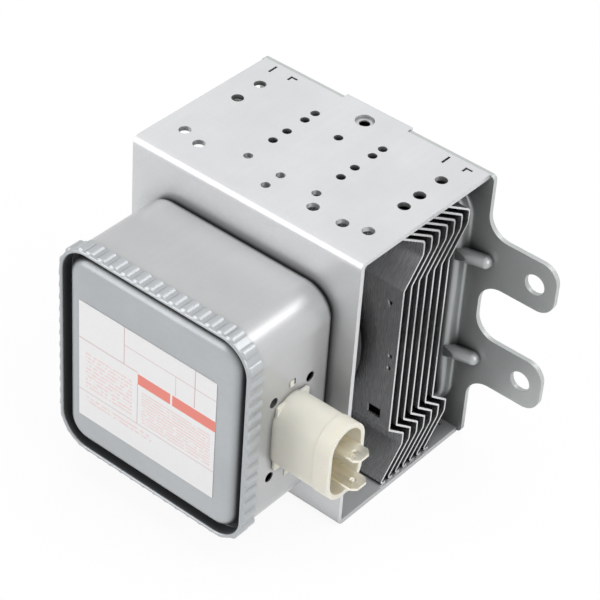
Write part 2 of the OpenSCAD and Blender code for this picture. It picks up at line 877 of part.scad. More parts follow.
// Copper tube, pinched shut at its end, on a flange that covers the ceramic
module exhaust_tube() {
    pinch = exhaust_l / 2;
    color([0.74, 0.47, 0.31]) at_tube_end(1) translate([0, 0, ceramic_rear]) difference() {
        union() {
            cylinder(h = exhaust_flange_t, r = cap_d / 2 + exhaust_wall / 2);
            cylinder(h = exhaust_l, r = exhaust_r);
        }
        translate([0, 0, -over]) cylinder(h = over + pinch, r = exhaust_r - exhaust_wall);
        for (s = [-1, 1]) {
            translate([s * (exhaust_r + exhaust_wall), 0, exhaust_l]) rotate([0, s * -25, 0]) {
                cube([2 * exhaust_wall + exhaust_r, 3 * exhaust_r, exhaust_l], center = true);
            }
        }
    }
}

// Thin round cap over the exhaust tube
module antenna_cap() {
    r = cap_d / 2;
    seat = ceramic_rear + exhaust_flange_t;
    color([0.76, 0.76, 0.77]) at_tube_end(1) translate([0, 0, seat]) rotate_extrude() {
        translate([r - cap_t, 0]) square([cap_t, cap_l - cap_edge_r]);
        translate([r - cap_edge_r, cap_l - cap_edge_r]) quarter_bend(cap_edge_r, cap_edge_r - cap_t, 0);
        translate([0, cap_l - cap_t]) square([r - cap_edge_r, cap_t]);
    }
}

// Ring that centres the gasket on the pressed middle of the mounting plate
module gasket_ring() {
    inner = cup_r + 2 * fit;
    color([0.72, 0.66, 0.50]) at_tube(web_rear) rotate_extrude() {
        translate([inner, 0]) square([gasket_d / 2 - inner, gasket_ring_t]);
        translate([inner, 0]) square([gasket_ring_t, gasket_ring_t + gasket_collar]);
    }
}

module rf_gasket() {
    inner = cup_r + 3 * fit + gasket_ring_t;
    w = gasket_d / 2 - inner;
    color([0.66, 0.66, 0.66]) at_tube(web_rear + gasket_ring_t) rotate_extrude() {
        translate([inner + w / 2, gasket_t / 2]) rounded_rect(w, gasket_t, gasket_edge_r);
    }
}

module connector_hole(grow) {
    obround(conn_h + 2 * grow, conn_w + 2 * grow);
}

module stake_holes(d) {
    for (x = [-1, 1], y = [-1, 1]) {
        translate([x * stake_pitch_z / 2, y * stake_pitch_y / 2]) circle(d = d);
    }
}

module box_profile() {
    square([box_r - box_floor_r, box_t]);
    translate([box_r - box_floor_r, box_floor_r]) quarter_bend(box_floor_r, box_floor_r - box_t, -90);
    translate([box_r - box_t, box_floor_r]) square([box_t, box_d - box_floor_r]);
}

// Drawn steel box on the yoke's front plate, open towards the lid
module filter_box() {
    color([0.76, 0.76, 0.77]) difference() {
        at_front(0) {
            carry_round(box_w, box_h, box_r) box_profile();
            linear_extrude(box_t) square([box_w - 2 * box_r, box_h - 2 * box_r], center = true);
        }
        at_front(-over) cylinder(h = box_t + 2 * over, d = yoke_bore_d);
        at_side(box_inside - over) linear_extrude(box_t + 2 * over) {
            connector_hole(conn_gap);
            stake_holes(stake_hole_d);
            for (s = [-1, 1]) {
                translate([s * window_pitch / 2, 0]) square(window, center = true);
            }
        }
    }
}

// Section of the lid, from the middle of a corner out to the crimped skirt
module lid_profile() {
    edge = lid_r;
    roll_z = lid_front - roll_r;
    translate([edge - lid_t, box_d - lid_skirt]) square([lid_t, roll_z - box_d + lid_skirt]);
    translate([edge - roll_r, roll_z]) {
        quarter_bend(roll_r, roll_r - lid_t, 0);
        quarter_bend(roll_r, roll_r - lid_t, 90);
    }
    translate([edge - 2 * roll_r, channel_face + channel_bend]) {
        square([lid_t, roll_z - channel_face - channel_bend]);
    }
    translate([edge - 2 * roll_r - channel_bend, channel_face + channel_bend]) {
        quarter_bend(channel_bend + lid_t, channel_bend, -90);
    }
    translate([edge - 2 * roll_r - channel_bend - lid_floor, channel_face - lid_t]) {
        square([lid_floor, lid_t]);
    }
    translate([edge - 2 * roll_r - channel_bend - lid_floor, channel_face + channel_bend]) {
        quarter_bend(channel_bend + lid_t, channel_bend, 180);
    }
    translate([edge - panel_wall - lid_t, channel_face + channel_bend]) {
        square([lid_t, panel_front - panel_r - channel_face - channel_bend]);
    }
    translate([edge - panel_wall - panel_r, panel_front - panel_r]) {
        quarter_bend(panel_r, panel_r - lid_t, 0);
    }
    translate([0, panel_front - lid_t]) square([edge - panel_wall - panel_r, lid_t]);
}

// One rib, sunk into the skirt and sloped off where the rim turns over
module crimp_rib() {
    l = lid_front - crimp_back - crimp_taper - (box_d - lid_skirt);
    cylinder(h = l, r = crimp_r);
    translate([0, 0, l]) cylinder(h = crimp_taper, r1 = crimp_r, r2 = crimp_r - crimp_out);
}

// Ribs at even steps along two opposite sides of the skirt
module side_ribs(run, edge) {
    count = floor(run / crimp_pitch);
    middle = edge + crimp_out - crimp_r;
    for (i = [0:count], s = [-1, 1]) {
        translate([(i - count / 2) * crimp_pitch, s * middle, 0]) crimp_rib();
    }
}

module corner_ribs() {
    count = floor(PI / 2 * lid_r / crimp_pitch);
    middle = lid_r + crimp_out - crimp_r;
    for (x = [-1, 1], y = [-1, 1], i = [1:count]) {
        angle = 90 * (i - 0.5) / count;
        translate([x * (lid_w / 2 - lid_r), y * (lid_h / 2 - lid_r), 0]) {
            translate(middle * [x * cos(angle), y * sin(angle), 0]) crimp_rib();
        }
    }
}

module crimped_ribs() {
    translate([0, 0, box_d - lid_skirt]) difference() {
        union() {
            side_ribs(lid_w - 2 * lid_r, lid_h / 2);
            rotate(90) side_ribs(lid_h - 2 * lid_r, lid_w / 2);
            corner_ribs();
        }
        translate([0, 0, -over]) linear_extrude(box_d) {
            rounded_rect(lid_w - 2 * crimp_root, lid_h - 2 * crimp_root, lid_r - crimp_root);
        }
    }
}

// Lid crimped over the box, with a hemmed rim and a channel round its raised panel
module filter_lid() {
    color([0.68, 0.70, 0.72]) at_front(0) {
        carry_round(lid_w, lid_h, lid_r) lid_profile();
        translate([0, 0, panel_front - lid_t]) linear_extrude(lid_t) {
            square([lid_w - 2 * lid_r, lid_h - 2 * lid_r], center = true);
        }
        crimped_ribs();
    }
}

module lid_label() {
    color([0.95, 0.94, 0.93]) at_front(panel_front) translate([label_at[0], label_at[1], label_t / 2]) {
        cube([label_w, label_h, label_t], center = true);
    }
}

// Height of a terminal tab above the tube axis, for the upper (1) and the lower (-1) one
function blade_up(side) = side * blade_pitch / 2 - conn_drop;

// One length of wire: the wound coil, with a lead to the stem and a lead to a terminal tab
module choke_coil(side) {
    start = choke_x - choke_l / 2;
    finish = choke_x + choke_l / 2;
    turn_x = start - ferrite_over - 2 * choke_bend;
    pad_x = -side * stem_pad_x;
    pad_up = side * choke_lead_up;
    tab_x = ground_x - potting_inner - blade_tail / 2;
    tab_up = blade_up(side) + side * blade_t / 2;
    lead_up = side * (choke_up - choke_r);
    color([0.72, 0.42, 0.25]) at_front(0) {
        translate([start, side * choke_up, choke_front]) rotate([0, 90, 0]) {
            wound(choke_r, choke_wire_r, choke_turns, 0.95);
        }
        bent_lead([
            [start, lead_up, choke_front],
            [turn_x, lead_up, choke_front],
            [turn_x, pad_up, choke_front],
            [pad_x, pad_up, choke_front],
            [pad_x, pad_up, stem_face + terminal_t]
        ], choke_lead_r, choke_bend);
        bent_lead([
            [finish, lead_up, choke_front],
            [tab_x, lead_up, choke_front],
            [tab_x, tab_up, choke_front]
        ], choke_lead_r, choke_bend);
    }
}

module ferrite_rod(side) {
    l = choke_l + 2 * ferrite_over;
    color([0.20, 0.20, 0.21]) at_front(0) translate([choke_x - l / 2, side * choke_up, choke_front]) {
        rotate([0, 90, 0]) cylinder(h = l, r = choke_r - choke_wire_r - 2 * fit);
    }
}

// Moulded socket: its flange bears on the inside of the box's wall, and two lugs show through it
module connector_shell() {
    color([0.91, 0.89, 0.82]) difference() {
        union() {
            at_side(flange_x) linear_extrude(conn_flange_t) {
                connector_hole(conn_flange);
                translate([0, lug_at]) square([window_pitch + lug_h, lug_w], center = true);
            }
            for (s = [-1, 1]) {
                at_side(flange_x) linear_extrude(box_side + lug_out - flange_x) {
                    translate([s * window_pitch / 2, lug_at]) square([lug_h, lug_w], center = true);
                }
            }
            at_side(flange_x) linear_extrude(mouth_x - flange_x) connector_hole(0);
            at_side(box_side) linear_extrude(conn_foot_l) {
                rounded_rect(conn_foot[0], conn_foot[1], conn_foot_r);
            }
            at_side(mouth_x - conn_rim_l) linear_extrude(conn_rim_l) connector_hole(conn_rim);
        }
        at_side(flange_x - over) linear_extrude(mouth_x - flange_x + 2 * over) connector_hole(-conn_wall);
    }
}

// Resin that fills the socket up to its mouth and holds the two tabs
module capacitor_potting() {
    start = ground_x - potting_inner;
    color([0.88, 0.84, 0.70]) difference() {
        at_side(start) linear_extrude(potting_x - start) connector_hole(-conn_wall - fit);
        for (s = [-1, 1]) {
            at_side(start - over) linear_extrude(potting_x - start + 2 * over) {
                translate([-s * blade_pitch / 2, 0]) {
                    square([blade_t + 2 * fit, blade_w + 2 * fit], center = true);
                }
            }
        }
    }
}

// Earthing plate behind the socket's flange
module capacitor_plate() {
    w = stake_pitch_y + 2 * stake_hole_d;
    h = stake_pitch_z + 2 * stake_hole_d;
    color([0.70, 0.70, 0.71]) at_side(ground_x) linear_extrude(ground_t) difference() {
        rounded_rect(h, w, stake_hole_d);
        connector_hole(-conn_wall + fit);
        stake_holes(stake_hole_d);
    }
}

// Flat tab with a bevelled tip and a locking hole, from inside the box to the outside
module terminal_tab(side) {
    start = ground_x - potting_inner - blade_tail;
    finish = mouth_x + blade_out;
    color([0.80, 0.79, 0.76]) translate([0, conn_y, conn_z + side * blade_pitch / 2 - blade_t / 2]) {
        linear_extrude(blade_t) difference() {
            polygon([
                [start, -blade_w / 2],
                [finish - blade_tip, -blade_w / 2],
                [finish, blade_tip - blade_w / 2],
                [finish, blade_w / 2 - blade_tip],
                [finish - blade_tip, blade_w / 2],
                [start, blade_w / 2]
            ]);
            translate([finish - blade_w / 2, 0]) circle(d = blade_hole_d);
        }
    }
}

yoke_frame();
mounting_plate();
for (i = [1:fin_count]) {
    fin(i);
}
input_magnet();
output_magnet();
anode_cylinder();
for (i = [1:vane_count]) {
    anode_vane(i);
}
for (i = [1:len(strap_names)]) {
    strap_ring(i);
}
pole_piece_input();
pole_piece_output();
seal_cup_input();
seal_cup_output();
filament();
end_hat_input();
end_hat_output();
centre_lead();
side_lead();
stem_ceramic();
stem_terminal(-1);  // stem_terminal_1
stem_terminal(1);  // stem_terminal_2
output_ceramic();
antenna_lead();
exhaust_tube();
antenna_cap();
gasket_ring();
rf_gasket();
filter_box();
filter_lid();
lid_label();
choke_coil(1);  // choke_coil_1
choke_coil(-1);  // choke_coil_2
ferrite_rod(1);  // ferrite_rod_1
ferrite_rod(-1);  // ferrite_rod_2
connector_shell();
capacitor_potting();
capacitor_plate();
terminal_tab(1);  // terminal_tab_1
terminal_tab(-1);  // terminal_tab_2
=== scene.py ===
"""Looks of an oven magnetron: its sheet steel, fins, magnets, tube, label, connector and studio."""

import math

import bpy
from mathutils import Matrix, Vector


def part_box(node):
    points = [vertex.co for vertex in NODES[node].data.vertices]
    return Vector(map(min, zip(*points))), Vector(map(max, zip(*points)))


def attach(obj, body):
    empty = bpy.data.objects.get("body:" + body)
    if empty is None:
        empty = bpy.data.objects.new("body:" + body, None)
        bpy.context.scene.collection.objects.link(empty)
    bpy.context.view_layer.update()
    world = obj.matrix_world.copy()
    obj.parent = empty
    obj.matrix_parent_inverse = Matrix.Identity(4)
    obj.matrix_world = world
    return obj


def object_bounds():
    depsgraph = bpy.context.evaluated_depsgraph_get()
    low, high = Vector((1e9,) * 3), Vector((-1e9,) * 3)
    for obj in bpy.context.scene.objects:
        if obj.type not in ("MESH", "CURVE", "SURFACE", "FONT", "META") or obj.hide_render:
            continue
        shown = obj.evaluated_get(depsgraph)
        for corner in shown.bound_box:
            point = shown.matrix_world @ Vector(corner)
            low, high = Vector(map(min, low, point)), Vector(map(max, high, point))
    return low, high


bl_info = {
    "name": "Magnetron Looks",
    "version": (1, 0, 0),
    "blender": (4, 5, 0),
    "location": "View3D > Sidebar > Magnetron",
    "description": "Finishes for the parts of an oven magnetron, and a plain studio to show it in",
    "category": "Object",
}

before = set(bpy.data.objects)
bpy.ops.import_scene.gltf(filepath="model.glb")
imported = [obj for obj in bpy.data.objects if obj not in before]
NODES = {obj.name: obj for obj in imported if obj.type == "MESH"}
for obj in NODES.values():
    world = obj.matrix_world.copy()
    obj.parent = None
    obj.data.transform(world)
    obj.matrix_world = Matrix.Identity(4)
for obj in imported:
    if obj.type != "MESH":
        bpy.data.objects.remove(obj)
CAD_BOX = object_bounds()
LABEL_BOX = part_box("lid_label")
GASKET_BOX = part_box("rf_gasket")

MM = 0.001
MICRON = 0.000001
FULL_TURN = 2 * math.pi

# Painted shade in the creases of the sheet parts and the fins: how far it reaches, and how open a place
# is where the painted shade is full and where it ends, from 0, closed in, to 1, open
BOX_CREASE = (4 * MM, 0.45, 0.88)
LID_CREASE = (7 * MM, 0.45, 0.94)
YOKE_CREASE = (11 * MM, 0.05, 0.80)
PLATE_CREASE = (20 * MM, 0.10, 0.84)
TIGHT_CREASE = (4 * MM, 0.30, 0.62)
FIN_CREASE = (12 * MM, 0.20, 0.75)

# Fields of the label: left, top, right and foot, as shares of its width and height
LEFT_LINES = (0.05, 0.40, 0.40, 0.72)
RIGHT_LINES = (0.47, 0.45, 0.97, 0.74)
FOOT_LINES = (0.05, 0.79, 0.55, 0.86)
BARS = ((0.44, 0.325, 0.678, 0.415), (0.692, 0.325, 1.0, 0.415))

# Rules of the label: where they stand, where they start and end, and their share of the full width
UPRIGHT_RULES = (
    (0.338, 0.0, 0.315, 1.0),
    (0.85, 0.0, 0.315, 1.0),
    (0.714, 0.15, 0.315, 0.6),
    (0.44, 0.41, 0.765, 0.8),
)
LEVEL_RULES = ((0.315, 0.0, 0.44, 1.0), (0.15, 0.338, 1.0, 0.7), (0.765, 0.0, 1.0, 0.7))


def length(name, description, default):
    """A size in metres, shown in the scene's unit of length."""
    return bpy.props.FloatProperty(
        name=name, description=description, default=default, unit="LENGTH", precision=5
    )


def point(name, description, default):
    """A place in metres."""
    return bpy.props.FloatVectorProperty(
        name=name,
        description=description,
        default=default,
        subtype="TRANSLATION",
        unit="LENGTH",
        size=3,
    )


def tint(name, description, default):
    """A linear colour."""
    return bpy.props.FloatVectorProperty(
        name=name,
        description=description,
        default=default,
        subtype="COLOR",
        size=3,
        min=0.0,
        max=1.0,
    )


def share(name, description, default):
    """A number from 0 to 1."""
    return bpy.props.FloatProperty(
        name=name, description=description, default=default, subtype="FACTOR", min=0.0, max=1.0
    )


def watts(name, description, default):
    """A lamp's power."""
    return bpy.props.FloatProperty(
        name=name, description=description, default=default, unit="POWER", min=0.0
    )


class SheetSettings(bpy.types.PropertyGroup):
    """Colours and gloss of the zinc-coated sheet parts."""

    yoke_colour: tint("Yoke", "Zinc coat of the yoke", (0.68, 0.69, 0.70))
    plate_colour: tint("Mounting plate", "Zinc coat of the mounting plate", (0.53, 0.555, 0.55))
    box_colour: tint("Filter box", "Zinc coat of the filter box", (0.53, 0.535, 0.54))
    lid_colour: tint("Filter lid", "Zinc coat of the filter lid", (0.47, 0.49, 0.505))
    cut_edge: tint("Cut edge", "Bare steel of the sheared edges", (0.50, 0.50, 0.50))
    gloss: share("Roughness", "Roughness of the zinc coat", 0.32)
    # Painted shade: the near-black that the zinc finishes take on in creases, corners and holes
    crease_shade: tint("Grime", "Dust and oil held in the creases", (0.03, 0.031, 0.033))
    edge_round: length("Edge round", "Radius that softens the sheared edges", 0.18 * MM)


class FinSettings(bpy.types.PropertyGroup):
    """Colours of the cooling fins."""

    face_colour: tint("Face", "Mill face of the aluminium sheet", (0.50, 0.505, 0.51))
    edge_colour: tint("Edge", "Sheared edge of the aluminium sheet", (0.72, 0.73, 0.74))
    # Painted shade: the near-black laid on the faces deep between two fins
    gap_shade_colour: tint("Deep face", "Dusty face deep between two fins", (0.012, 0.012, 0.012))
    gloss: share("Roughness", "Roughness of the mill face", 0.27)


class TubeSettings(bpy.types.PropertyGroup):
    """Colours of the magnets and of the sealed tube, and the gasket's wire."""

    ferrite_colour: tint("Ferrite", "Ground ferrite of the magnets and rods", (0.022, 0.022, 0.024))
    copper_colour: tint("Copper", "Bare copper of the anode", (0.72, 0.36, 0.22))
    ceramic_colour: tint("Ceramic", "Fired ceramic of the insulators", (0.80, 0.66, 0.61))
    steel_colour: tint("Steel", "Drawn steel of the cups and the cap", (0.60, 0.59, 0.57))
    iron_colour: tint("Iron", "Turned iron of the pole pieces", (0.40, 0.39, 0.38))
    cathode_colour: tint("Cathode", "Bare metal of the filament and its leads", (0.46, 0.46, 0.48))
    wire_colour: tint("Choke wire", "Enamelled wire of the chokes", (0.42, 0.17, 0.07))
    knit_colour: tint("Gasket wire", "Knitted wire of the gasket", (0.62, 0.61, 0.58))
    # Painted shade: the dark colour of the gasket's core stands for the shade under the knitted rows
    packed_shade_colour: tint("Packed wire", "Wire under the gasket's outer rows", (0.12, 0.118, 0.112))
    wire_round: length("Gasket edge", "Radius round the edges of the gasket", 2 * MM)
    wire_r: length("Wire radius", "Radius of the knitted wire", 0.13 * MM)
    row_pitch: length("Row pitch", "Spacing of the knitted rows", 1.1 * MM)
    loop_pitch: length("Loop pitch", "Spacing of the loops along a row", 1.5 * MM)


class LabelSettings(bpy.types.PropertyGroup):
    """Plain printed fields of the lid's label."""

    paper: tint("Paper", "Label stock", (0.81, 0.805, 0.81))
    rule: tint("Rule", "Thin printed rules", (0.55, 0.30, 0.29))
    bar: tint("Bar", "Solid printed bars", (0.78, 0.16, 0.11))
    small_print: tint("Fine lines", "Rows of fine lines", (0.78, 0.56, 0.54))
    rule_w: length("Rule width", "Width of the thin rules", 0.32 * MM)
    line_pitch: length("Line pitch", "Spacing of the rows of fine lines", 1.3 * MM)


class ConnectorSettings(bpy.types.PropertyGroup):
    """Colours of the side connector."""

    shell: tint("Shell", "Moulded shell", (0.75, 0.725, 0.64))
    resin: tint("Resin", "Cast resin at the bottom of the mouth", (0.68, 0.57, 0.36))
    blade: tint("Blade", "Tinned blades", (0.94, 0.91, 0.80))


class StudioSettings(bpy.types.PropertyGroup):
    """Camera, lamps and floor."""

    camera_place: point("Camera", "Place of the camera", (0.3175, -0.41275, 0.46647))
    camera_turn: bpy.props.FloatVectorProperty(
        name="Turn",
        description="Azimuth, elevation and roll of the camera",
        default=(math.radians(37.584), math.radians(39.117), math.radians(4.203)),
        subtype="EULER",
        size=3,
    )
    lens: bpy.props.FloatProperty(
        name="Lens", description="Focal length in millimetres", default=142.1, min=10.0
    )
    floor_colour: tint("Floor", "Pale floor", (0.92, 0.92, 0.92))
    floor_r: length("Floor radius", "Radius of the round floor", 6.0)
    floor_drop: length("Floor drop", "How far the floor lies under the part", 0.2 * MM)
    shade: share("Shadow", "How much of the object's shadow the floor shows", 0.09)
    room_light: share("Room light", "Strength of the even light from all round", 0.32)
    key_power: watts("Key lamp", "Power of the lamp above, which gloss doesn't show", 20.0)
    key_place: point("Key place", "Place of the lamp above", (0.35, 0.25, 1.5))
    key_size: length("Key size", "Width of the lamp above", 2.0)
    glint_power: watts("Glint lamp", "Power of the small lamp that only gloss shows", 4.0)
    glint_place: point("Glint place", "Place of the small lamp", (0.55, 0.6, 1.25))
    glint_size: length("Glint size", "Width of the small lamp", 0.7)
    front_power: watts("Front lamp", "Power of the lamp before the lid", 12.5)
    front_place: point("Front place", "Place of the lamp before the lid", (-1.0, -1.15, 0.75))
    front_size: length("Front size", "Width of the lamp before the lid", 1.5)
    side_power: watts("Side lamp", "Power of the lamp at the connector's side", 9.0)
    side_place: point("Side place", "Place of the lamp at the connector's side", (1.5, -0.2, 0.7))
    side_size: length("Side size", "Width of the lamp at the connector's side", 1.4)


class Finish:
    """A procedural material that is built up from node outputs."""

    def __init__(self, name, colour, metallic=0.0, roughness=0.5):
        self.material = bpy.data.materials.new(name)
        self.material.use_nodes = True
        self.tree = self.material.node_tree
        self.shader = self.tree.nodes["Principled BSDF"]
        self.set("Base Color", (*colour, 1.0))
        self.set("Metallic", metallic)
        self.set("Roughness", roughness)
        self.place = self.add("ShaderNodeTexCoord").outputs["Object"]

    def add(self, kind, **settings):
        node = self.tree.nodes.new(kind)
        for key, value in settings.items():
            setattr(node, key, value)
        return node

    def join(self, source, target):
        """Sets an input to an output, or to a plain value."""
        if isinstance(source, bpy.types.NodeSocket):
            self.tree.links.new(source, target)
        else:
            target.default_value = source

    def set(self, name, source):
        """Sets one of the shader's own inputs."""
        self.join(source, self.shader.inputs[name])

    def stretched(self, scale):
        """Object coordinates, with a scale along each axis."""
        node = self.add("ShaderNodeMapping")
        self.join(self.place, node.inputs["Vector"])
        node.inputs["Scale"].default_value = scale
        return node.outputs["Vector"]

    def noise(self, scale, detail=2.0, stretch=None, rough=0.5):
        """Cloudy noise, with about as many spots to a metre as the scale says."""
        node = self.add("ShaderNodeTexNoise")
        self.join(self.stretched(stretch) if stretch else self.place, node.inputs["Vector"])
        node.inputs["Scale"].default_value = scale
        node.inputs["Detail"].default_value = detail
        node.inputs["Roughness"].default_value = rough
        return node.outputs["Fac"]

    def specks(self, scale, low, high):
        """1 in small round spots and 0 between them."""
        node = self.add("ShaderNodeTexVoronoi")
        self.join(self.place, node.inputs["Vector"])
        node.inputs["Scale"].default_value = scale
        return self.ramp(node.outputs["Distance"], low, high)

    def ramp(self, fac, low, high, start=0.0, end=1.0):
        """Maps a stretch of a value to another, held at both ends."""
        node = self.add("ShaderNodeMapRange")
        self.join(fac, node.inputs["Value"])
        ends = {"From Min": low, "From Max": high, "To Min": start, "To Max": end}
        for key, value in ends.items():
            self.join(value, node.inputs[key])
        return node.outputs["Result"]

    def math(self, operation, a, b=None):
        node = self.add("ShaderNodeMath", operation=operation)
        self.join(a, node.inputs[0])
        if b is not None:
            self.join(b, node.inputs[1])
        return node.outputs["Value"]

    def part(self, value, of_it):
        """A share of a value."""
        return self.math("MULTIPLY", value, of_it)

    def mix(self, fac, a, b):
        """Goes from one colour to another."""
        node = self.add("ShaderNodeMix", data_type="RGBA")
        self.join(fac, node.inputs["Factor"])
        self.join(a if isinstance(a, bpy.types.NodeSocket) else (*a, 1.0), node.inputs["A"])
        self.join(b if isinstance(b, bpy.types.NodeSocket) else (*b, 1.0), node.inputs["B"])
        return node.outputs["Result"]

    def axes(self, source=None):
        node = self.add("ShaderNodeSeparateXYZ")
        self.join(source or self.place, node.inputs[0])
        return node.outputs["X"], node.outputs["Y"], node.outputs["Z"]

    def soft_edges(self, radius):
        """The surface's normal with its sharp edges rounded."""
        node = self.add("ShaderNodeBevel", samples=6)
        node.inputs["Radius"].default_value = radius
        return node.outputs["Normal"]

    def relief(self, height, depth, strength, normal=None):
        """Bumps the surface by a height, over what a normal already shows."""
        node = self.add("ShaderNodeBump")
        self.join(height, node.inputs["Height"])
        node.inputs["Distance"].default_value = depth
        node.inputs["Strength"].default_value = strength
        if normal is not None:
            self.join(normal, node.inputs["Normal"])
        return node.outputs["Normal"]

    def crease(self, reach, full, gone):
        """1 deep in creases and corners and 0 on open faces."""
        node = self.add("ShaderNodeAmbientOcclusion", samples=8)
        node.inputs["Distance"].default_value = reach
        return self.ramp(node.outputs["AO"], gone, full)

    def worn_edge(self, normal):
        """1 on the rounded edges and 0 on flat faces."""
        face = self.add("ShaderNodeNewGeometry").outputs["Normal"]
        node = self.add("ShaderNodeVectorMath", operation="DOT_PRODUCT")
        self.join(normal, node.inputs[0])
        self.join(face, node.inputs[1])
        return self.ramp(node.outputs["Value"], 0.985, 0.90)

    def wear(self, *nodes):
        """Gives the finish to CAD nodes."""
        for name in nodes:
            data = NODES[name].data
            data.materials.clear()
            data.materials.append(self.material)


def toned(colour, by):
    """A colour made darker or lighter by a factor."""
    return tuple(c * by for c in colour)


def named(*starts):
    """Names of the CAD nodes that start in one of these ways."""
    return [name for name in NODES if name.startswith(starts)]


def zinc_finish(name, colour, settings, metallic, crease):
    """Zinc-coated sheet: cloudy coat, streaks, grain, handling marks, painted shade in creases and
    holes, and bright edges.
    """
    gloss = settings.gloss
    f = Finish(name, colour, metallic, gloss)
    f.set("Specular IOR Level", 0.25)
    cloud = f.noise(38.0, detail=3.0)
    streak = f.noise(620.0, stretch=(1.0, 0.06, 1.0))
    grain = f.noise(2600.0, detail=1.0)
    scuffs = f.noise(210.0, detail=4.0, stretch=(0.25, 1.0, 1.0), rough=0.7)
    marks = f.ramp(scuffs, 0.66, 0.74)
    edge = f.soft_edges(settings.edge_round)
    tone = f.mix(f.ramp(cloud, 0.32, 0.68), toned(colour, 0.91), colour)
    tone = f.mix(f.ramp(streak, 0.35, 0.75, end=0.18), tone, toned(colour, 0.84))
    tone = f.mix(f.ramp(grain, 0.40, 0.80, end=0.18), tone, toned(colour, 0.72))
    tone = f.mix(f.part(marks, 0.14), tone, toned(colour, 0.62))
    tone = f.mix(f.part(f.worn_edge(edge), 0.5), tone, settings.cut_edge)
    # Painted shade: creases, corners and hole walls are darkened towards a near-black
    held = f.math("MAXIMUM", f.crease(*crease), f.crease(*TIGHT_CREASE))
    f.set("Base Color", f.mix(f.part(held, 0.88), tone, settings.crease_shade))
    f.set("Roughness", f.ramp(streak, 0.3, 0.8, gloss - 0.015, gloss + 0.025))
    f.set("Normal", f.relief(grain, 4 * MICRON, 0.3, edge))
    return f


def fin_finish(settings):
    """Mill aluminium: rolling lines on the faces, painted shade deep between fins, and a bright sheared
    edge.
    """
    colour, gloss = settings.face_colour, settings.gloss
    f = Finish("fin aluminium", colour, metallic=0.65, roughness=gloss)
    roll = f.noise(1500.0, stretch=(1.0, 0.04, 0.04))
    cloud = f.noise(60.0, detail=3.0)
    across = f.axes(f.add("ShaderNodeNewGeometry").outputs["Normal"])[0]
    side = f.ramp(f.math("ABSOLUTE", across), 0.7, 0.95)
    burr = f.noise(700.0, stretch=(1.0, 0.3, 0.3))
    face = f.mix(f.ramp(cloud, 0.32, 0.66), toned(colour, 0.82), colour)
    face = f.mix(f.ramp(roll, 0.35, 0.75, end=0.12), face, toned(colour, 0.8))
    # Painted shade deep between the fins, where little light reaches
    face = f.mix(f.part(f.crease(*FIN_CREASE), 0.96), face, settings.gap_shade_colour)
    cut = f.mix(f.ramp(burr, 0.35, 0.7), toned(settings.edge_colour, 0.9), settings.edge_colour)
    f.set("Base Color", f.mix(side, face, cut))
    f.set("Roughness", f.ramp(roll, 0.3, 0.8, gloss - 0.01, gloss + 0.02))
    f.set("Normal", f.relief(roll, 2 * MICRON, 0.3, f.soft_edges(0.1 * MM)))
    return f


def ferrite_finish(name, colour):
    """Sintered ferrite: dull black with a fine grain and pale chips."""
    f = Finish(name, colour, roughness=0.55)
    chip_colour = (0.16, 0.155, 0.15)
    grain = f.noise(1800.0, detail=3.0)
    chips = f.specks(420.0, 0.10, 0.05)
    tone = f.mix(f.ramp(grain, 0.3, 0.75), colour, toned(colour, 2.4))
    f.set("Base Color", f.mix(f.part(chips, 0.35), tone, chip_colour))
    f.set("Roughness", f.ramp(grain, 0.3, 0.8, 0.45, 0.72))
    f.set("Normal", f.relief(grain, 40 * MICRON, 0.5, f.soft_edges(0.3 * MM)))
    return f


def copper_finish(name, colour):
    """Bare copper: clean metal with a brown bloom and turning lines."""
    f = Finish(name, colour, metallic=1.0, roughness=0.32)
    bloom_colour = (0.36, 0.15, 0.09)
    bloom = f.noise(90.0, detail=4.0)
    lines = f.noise(1500.0, detail=1.0, stretch=(1.0, 0.04, 1.0))
    tone = f.mix(f.ramp(bloom, 0.42, 0.70, end=0.7), colour, bloom_colour)
    f.set("Base Color", f.mix(f.ramp(lines, 0.4, 0.8, end=0.25), tone, toned(colour, 0.6)))
    f.set("Roughness", f.ramp(bloom, 0.35, 0.75, 0.22, 0.45))
    f.set("Normal", f.relief(lines, 8 * MICRON, 0.4, f.soft_edges(0.15 * MM)))
    return f


def drawn_finish(name, colour, gloss):
    """Drawn or turned steel: lines round the part, brown stains and light edges."""
    f = Finish(name, colour, metallic=0.95, roughness=gloss)
    red, green, blue = colour
    stain_colour = (red * 0.75, green * 0.68, blue * 0.58)
    edge_colour = (0.78, 0.78, 0.77)
    lines = f.noise(1400.0, stretch=(0.08, 1.0, 0.08))
    stain = f.noise(120.0, detail=4.0)
    edge = f.soft_edges(0.15 * MM)
    tone = f.mix(f.ramp(lines, 0.35, 0.75, end=0.30), colour, toned(colour, 0.66))
    tone = f.mix(f.ramp(stain, 0.55, 0.75, end=0.35), tone, stain_colour)
    f.set("Base Color", f.mix(f.part(f.worn_edge(edge), 0.4), tone, edge_colour))
    f.set("Roughness", f.ramp(stain, 0.35, 0.75, gloss - 0.06, gloss + 0.14))
    f.set("Normal", f.relief(lines, 10 * MICRON, 0.4, edge))
    return f


def ceramic_finish(name, colour):
    """Fired alumina: matt, speckled, with a slightly uneven skin."""
    f = Finish(name, colour, roughness=0.48)
    specks = f.specks(900.0, 0.16, 0.08)
    skin = f.noise(600.0, detail=3.0)
    tone = f.mix(f.ramp(skin, 0.3, 0.7), toned(colour, 0.93), colour)
    f.set("Base Color", f.mix(f.part(specks, 0.25), tone, toned(colour, 0.62)))
    f.set("Roughness", f.ramp(skin, 0.3, 0.7, 0.42, 0.58))
    f.set("Normal", f.relief(skin, 20 * MICRON, 0.4, f.soft_edges(0.2 * MM)))
    return f


